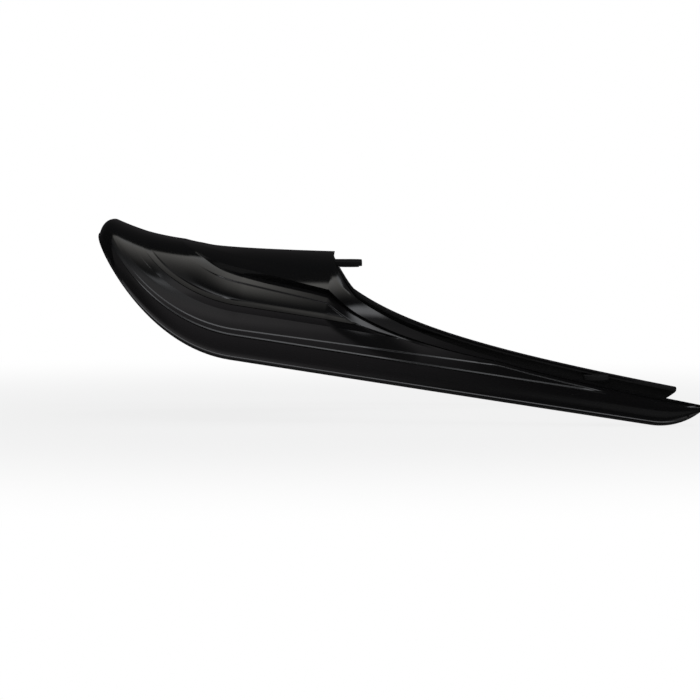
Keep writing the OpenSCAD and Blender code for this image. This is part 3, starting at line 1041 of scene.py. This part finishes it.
class Socket:
    """A shader socket that takes part in sums and products as a number does."""

    def __init__(self, shader: "Shader", link: bpy.types.NodeSocket) -> None:
        """Wraps one output socket of a shader's tree."""
        self.shader, self.link = shader, link

    def _maths(self, how: str, *values: Any) -> "Socket":
        """Adds a Math node."""
        return self.shader.node("ShaderNodeMath", {"operation": how}, dict(enumerate(values)))

    def __add__(self, other: Any) -> "Socket":
        """This plus other."""
        return self._maths("ADD", self, other)

    __radd__ = __add__

    def __mul__(self, other: Any) -> "Socket":
        """This times other."""
        return self._maths("MULTIPLY", self, other)

    __rmul__ = __mul__

    def __sub__(self, other: Any) -> "Socket":
        """This less other."""
        return self._maths("SUBTRACT", self, other)

    def __rsub__(self, other: Any) -> "Socket":
        """Other less this."""
        return self._maths("SUBTRACT", other, self)

    def most(self, other: Any) -> "Socket":
        """The greater of this and other."""
        return self._maths("MAXIMUM", self, other)

    def between(self, low: float, high: float) -> "Socket":
        """Goes smoothly from 0 at low to 1 at high."""
        return self.shader.node("ShaderNodeMapRange", {"interpolation_type": "SMOOTHSTEP"},
                                {"Value": self, "From Min": low, "From Max": high}, "Result")


class Shader:
    """A material or world whose nodes are built from Python expressions."""

    def __init__(self, owner: bpy.types.Material | bpy.types.World) -> None:
        """Clears the owner's tree.

        Args:
            owner: The material or world.
        """
        owner.use_nodes = True
        self.tree = owner.node_tree
        self.tree.nodes.clear()

    def node(self, kind: str, settings: dict[str, Any] | None = None,
             inputs: dict[str | int, Any] | None = None, output: str | int = 0) -> Socket:
        """Adds one node.

        Args:
            kind: The node's type.
            settings: Properties, which are set first.
            inputs: Values, or sockets to link, by input name or number.
            output: The output to return.

        Returns:
            That output, wrapped.
        """
        made = self.tree.nodes.new(kind)
        for name, value in (settings or {}).items():
            if name == "stops":
                self._stops(made.color_ramp, value)
            else:
                setattr(made, name, value)
        for name, value in (inputs or {}).items():
            target = made.inputs[name]
            if isinstance(value, Socket):
                self.tree.links.new(value.link, target)
            else:
                target.default_value = value
        return Socket(self, made.outputs[output]) if made.outputs else None

    @staticmethod
    def _stops(ramp_data: bpy.types.ColorRamp, stops: Sequence[Stop]) -> None:
        """Sets the stops of a colour ramp, two or more.

        Args:
            ramp_data: The ramp, which is changed.
            stops: Places from 0 to 1, each with its colour.
        """
        while len(ramp_data.elements) < len(stops):
            ramp_data.elements.new(0.5)
        for element, (place, colour) in zip(ramp_data.elements, stops):
            element.position, element.color = place, colour

    def place(self, scale: Sequence[float] = (1.0, 1.0, 1.0)) -> Socket:
        """Object coordinates in metres, scaled."""
        where = self.node("ShaderNodeTexCoord", None, None, "Object")
        return self.node("ShaderNodeMapping", None, {"Vector": where, "Scale": scale})

    def rays(self, glossy: float) -> Socket:
        """One for what the camera sees, straight or through glass, and a share in reflections.

        Args:
            glossy: The share in reflections.

        Returns:
            The value.
        """
        camera, through, mirrored = (
            self.node("ShaderNodeLightPath", None, None, name)
            for name in ("Is Camera Ray", "Is Transmission Ray", "Is Glossy Ray")
        )
        return camera.most(through).most(mirrored * glossy)

    def noise(self, grain: "Grain") -> Socket:
        """Noise of one grain."""
        return self.node("ShaderNodeTexNoise", None, {
            "Vector": self.place((grain.along, 1.0, 1.0)),
            "Scale": grain.scale, "Detail": grain.detail,
        })

    def mix(self, share: Socket, a: Any, b: Any) -> Socket:
        """Mixes two colours."""
        return self.node("ShaderNodeMix", {"data_type": "RGBA"}, {0: share, 6: a, 7: b}, 2)


def grey(value: float, blue: float = 1.0) -> tuple[float, float, float, float]:
    """A grey with a touch more or less blue."""
    return (value, value, value * blue, 1.0)


@dataclass(frozen=True)
class Grain:
    """One grain of a finish: waves to the metre, their detail and how they are drawn out."""

    scale: float
    detail: float
    along: float = 1.0


@dataclass(frozen=True)
class GlossBlack:
    """Black paint under a clear gloss coat outside, bare moulded plastic inside."""

    paint: float = 0.0045
    paint_blue: float = 1.05
    paint_rough: float = 0.3
    paint_edge: Point = (0.35, 0.65)
    coat: float = 0.5
    coat_rough: float = 0.1
    plastic: float = 0.014
    plastic_pale: float = 1.5
    plastic_blue: float = 1.02
    plastic_rough: float = 0.55
    dust: float = 0.05
    dust_share: float = 0.5
    dust_from: Point = (0.76, 0.82)
    dust_where: Point = (0.4, 0.7)
    haze_rough: float = 0.05
    wipe_rough: float = 0.04
    wipe_from: Point = (0.45, 0.7)
    flow_rough: float = 0.2
    middle: Point = (0.3, 0.7)
    haze: Grain = Grain(9.0, 3.0)
    wipe: Grain = Grain(60.0, 4.0, 0.25)
    peel: Grain = Grain(420.0, 1.0)
    grain: Grain = Grain(2200.0, 2.0)
    flow: Grain = Grain(26.0, 5.0, 0.3)
    speck: Grain = Grain(1300.0, 0.0)
    peel_h: float = 0.004
    haze_h: float = 0.05
    grain_h: float = 0.02
    flow_h: float = 0.03

    def material(self) -> bpy.types.Material:
        """Builds the finish.

        Returns:
            Its material.
        """
        mat = bpy.data.materials.new("gloss_black_paint")
        sh = Shader(mat)
        painted = sh.node("ShaderNodeAttribute", {"attribute_name": OUTSIDE}, None, "Fac")
        painted = painted.between(*self.paint_edge)
        bare = 1.0 - painted
        haze, wipe, peel = sh.noise(self.haze), sh.noise(self.wipe), sh.noise(self.peel)
        grain, flow, speck = sh.noise(self.grain), sh.noise(self.flow), sh.noise(self.speck)
        dust = speck.between(*self.dust_from) * haze.between(*self.dust_where)
        paint = sh.mix(dust * self.dust_share, grey(self.paint, self.paint_blue), grey(self.dust))
        pale = grey(self.plastic * self.plastic_pale, self.plastic_blue)
        plastic = sh.mix(flow.between(*self.middle), grey(self.plastic), pale)
        paint_rough = self.paint_rough + haze.between(*self.middle) * self.haze_rough
        paint_rough = paint_rough + wipe.between(*self.wipe_from) * self.wipe_rough
        plastic_rough = self.plastic_rough + (flow - 0.5) * self.flow_rough
        height = (peel * self.peel_h + haze * self.haze_h) * painted
        height = height + (grain * self.grain_h + flow * self.flow_h) * bare
        bump = sh.node("ShaderNodeBump", None, {"Strength": 1.0, "Distance": MM, "Height": height})
        bsdf = sh.node("ShaderNodeBsdfPrincipled", None, {
            "Base Color": sh.mix(painted, plastic, paint),
            "Roughness": paint_rough * painted + plastic_rough * bare,
            "Normal": bump,
            "Coat Weight": painted * self.coat,
            "Coat Roughness": self.coat_rough,
            "Specular IOR Level": 0.0,
        })
        sh.node("ShaderNodeOutputMaterial", None, {"Surface": bsdf})
        return mat


@dataclass(frozen=True)
class Lamp:
    """A soft rectangular lamp."""

    name: str
    place: tuple[float, float, float]
    aim: tuple[float, float, float]
    size: Point
    watts: float

    def build(self) -> None:
        """Adds the lamp to the scene."""
        data = bpy.data.lights.new(self.name, "AREA")
        data.shape, data.energy = "RECTANGLE", self.watts
        data.size, data.size_y = self.size
        lamp = add_object(self.name, data)
        lamp.location = self.place
        away = Vector(self.place) - Vector(self.aim)
        lamp.rotation_euler = away.to_track_quat("Z", "Y").to_euler()
        lamp.visible_camera = False


@dataclass
class Studio:
    """Floor, lamps, world and camera."""

    target: tuple[float, float, float] = (0.0006, 0.0, -0.0798)
    distance: float = 3.2
    elevation: float = 3.0
    lens: float = 184.9
    sensor: float = 36.0
    clip_end: float = 100.0
    floor_z: float = -0.1385
    floor_r: float = 12.0
    floor_sides: int = 96
    floor_near: float = 0.5
    floor_far: float = 0.12
    floor_dark: Point = (0.5, 2.0)
    floor_plain: float = 0.84
    floor_white: Point = (0.3, 1.0)
    floor_mirrored: float = 0.1
    dark_light: float = 0.04
    low_light: float = 0.22
    low_steps: tuple[tuple[float, Point], ...] = (
        (0.26, (0.0, 0.3)), (0.45, (0.3, 0.46)), (-0.58, (0.65, 0.88)),
    )
    front_shade: Point = (-0.1, 0.03)
    front_share: Point = (1.2, 1.15)
    rear_shade: Point = (-0.6, -0.3)
    rear_share: float = 0.25
    high_light: float = 2.6
    high_up: Point = (0.5, 0.9)
    high_from: Point = (-0.5, 0.28)
    high_rear: Point = (-0.2, 0.06)
    slant: float = 0.7
    ends_behind: Point = (0.2, 0.28)
    front_glow: Point = (0.3, 0.8)
    band_light: float = 5.0
    band_grows: Point = (0.66, 0.76)
    band_ends: Point = (0.8, 0.88)
    band_front: Point = (-0.12, 0.0)
    band_near: Point = (-0.5, -0.3)
    tints: tuple[Stop, ...] = (
        (0.15, (1.0, 0.94, 1.0, 1.0)), (0.5, (1.0, 0.96, 0.98, 1.0)),
        (0.85, (0.93, 0.96, 1.0, 1.0)), (0.97, (1.0, 0.98, 0.93, 1.0)),
    )
    lamps: tuple[Lamp, ...] = (
        Lamp("softbox_right", (1.9, -0.9, 1.3), (0.0, 0.0, 0.0), (2.0, 1.6), 6.0),
    )

    def camera(self) -> None:
        """Sets the camera at the photograph's viewing angle."""
        data = bpy.data.cameras.new("camera")
        data.lens, data.sensor_width, data.clip_end = self.lens, self.sensor, self.clip_end
        cam = add_object("camera", data)
        e = math.radians(self.elevation)
        away = Vector((0.0, -math.cos(e), math.sin(e)))
        cam.location = Vector(self.target) + away * self.distance
        cam.rotation_euler = away.to_track_quat("Z", "Y").to_euler()
        bpy.context.scene.camera = cam

    def floor(self) -> None:
        """Adds the pale floor, which turns into the white background away from the cowl."""
        mesh = bmesh.new()
        bmesh.ops.create_circle(mesh, cap_ends=True, segments=self.floor_sides, radius=self.floor_r)
        bmesh.ops.translate(mesh, verts=mesh.verts, vec=(0.0, 0.0, self.floor_z))
        data = bpy.data.meshes.new("floor")
        mesh.to_mesh(data)
        mesh.free()
        floor = add_object("floor", data)
        mat = bpy.data.materials.new("pale_floor")
        sh = Shader(mat)
        away = sh.node("ShaderNodeVectorMath", {"operation": "LENGTH"}, {0: sh.place()}, "Value")
        near, far = grey(self.floor_near), grey(self.floor_far)
        colour = sh.mix(away.between(*self.floor_dark), near, far)
        pale = sh.node("ShaderNodeBsdfDiffuse", None, {"Color": colour})
        white = sh.node("ShaderNodeEmission", None, {"Color": grey(1.0), "Strength": 1.0})
        plain = self.floor_plain
        share = plain + (1.0 - plain) * away.between(*self.floor_white)
        share = sh.rays(self.floor_mirrored) * share
        surface = sh.node("ShaderNodeMixShader", None, {0: share, 1: pale, 2: white})
        sh.node("ShaderNodeOutputMaterial", None, {"Surface": surface})
        data.materials.append(mat)

    def world(self) -> None:
        """Sets the world: soft light, and white where the camera looks past the floor."""
        world = bpy.data.worlds.new("studio")
        sh = Shader(world)
        way = sh.node("ShaderNodeTexCoord", None, None, "Generated")
        across, behind, up = (
            sh.node("ShaderNodeSeparateXYZ", None, {"Vector": way}, axis) for axis in "XYZ"
        )
        slanted = behind - self.slant * across
        lit = (1.0 - slanted.between(*self.ends_behind)).most(across.between(*self.front_glow))
        low = self.low_light
        for gain, edges in self.low_steps:
            low = low + gain * up.between(*edges)
        full, loss = self.front_share
        low = low * (full - loss * across.between(*self.front_shade))
        left = self.rear_share
        low = low * (left + (1.0 - left) * across.between(*self.rear_shade))
        high = self.high_light * slanted.between(*self.high_from) * up.between(*self.high_up)
        high = high * across.between(*self.high_rear)
        band = up.between(*self.band_grows) - up.between(*self.band_ends)
        band = self.band_light * band * across.between(*self.band_front)
        band = band * (1.0 - behind.between(*self.band_near))
        light = self.dark_light + (low + high) * lit + band
        tint = sh.node("ShaderNodeValToRGB", {"stops": self.tints}, {"Fac": up})
        seen = sh.rays(self.dark_light)
        back = sh.node("ShaderNodeBackground", None, {
            "Color": sh.mix(seen, tint, grey(1.0)), "Strength": light.most(seen),
        })
        sh.node("ShaderNodeOutputWorld", None, {"Surface": back})
        bpy.context.scene.world = world

    def build(self) -> None:
        """Builds the studio."""
        self.camera()
        self.floor()
        self.world()
        for lamp in self.lamps:
            lamp.build()
        bpy.context.scene.view_settings.view_transform = "Standard"


@dataclass
class SeatCowl:
    """The whole cowl: its skin, its fixings and its finish."""

    form: CowlForm = field(default_factory=CowlForm)
    finish: GlossBlack = field(default_factory=GlossBlack)
    sharp_from: float = 40.0
    on_skin: float = 0.15

    @staticmethod
    def _keep_inside(obj: bpy.types.Object) -> None:
        """Moves the few points that stand a hair outside the CAD box back to its sides.

        Args:
            obj: The cowl, which is changed.
        """
        co = np.empty(3 * len(obj.data.vertices))
        obj.data.vertices.foreach_get("co", co)
        low, high = corners(CAD_BOX)
        obj.data.vertices.foreach_set("co", np.clip(co.reshape(-1, 3), low, high).ravel())
        obj.data.update()

    def _mask(self, obj: bpy.types.Object, outside: Array) -> None:
        """Marks each corner point of the mesh that lies on the painted outside.

        Args:
            obj: The cowl.
            outside: Points of the outside, in metres.
        """
        tree = KDTree(len(outside))
        for k, p in enumerate(outside):
            tree.insert(p, k)
        tree.balance()
        data = obj.data
        layer = data.attributes.new(OUTSIDE, "FLOAT", "POINT")
        near = self.on_skin * MM
        layer.data.foreach_set("value", [float(tree.find(v.co)[2] < near) for v in data.vertices])

    def build(self) -> list[bpy.types.Object]:
        """Builds and dresses the cowl.

        Returns:
            Its pieces.
        """
        shell, outside = CowlShell(self.form, StyleLines(self.form)).build()
        finish = self.finish.material()
        Fixings(self.form).join(shell, finish)
        self._keep_inside(shell)
        self._mask(shell, outside)
        shell.data.shade_smooth()
        shell.data.set_sharp_from_angle(angle=math.radians(self.sharp_from))
        shell.data.materials.clear()
        shell.data.materials.append(finish)
        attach(shell, "root")
        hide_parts("cowl_shell")
        return [shell]


def corners(box: Sequence[Sequence[float]]) -> list[list[float]]:
    """A box as plain lists of numbers."""
    return [[float(v) for v in corner] for corner in box]


def main() -> None:
    """Builds the studio and the cowl."""
    logging.basicConfig(level=logging.INFO, format="%(message)s")
    Studio().build()
    for piece in SeatCowl().build():
        LOG.info("%s: %d points, %d faces", piece.name, len(piece.data.vertices),
                 len(piece.data.polygons))


if __name__ == "__main__":
    main()
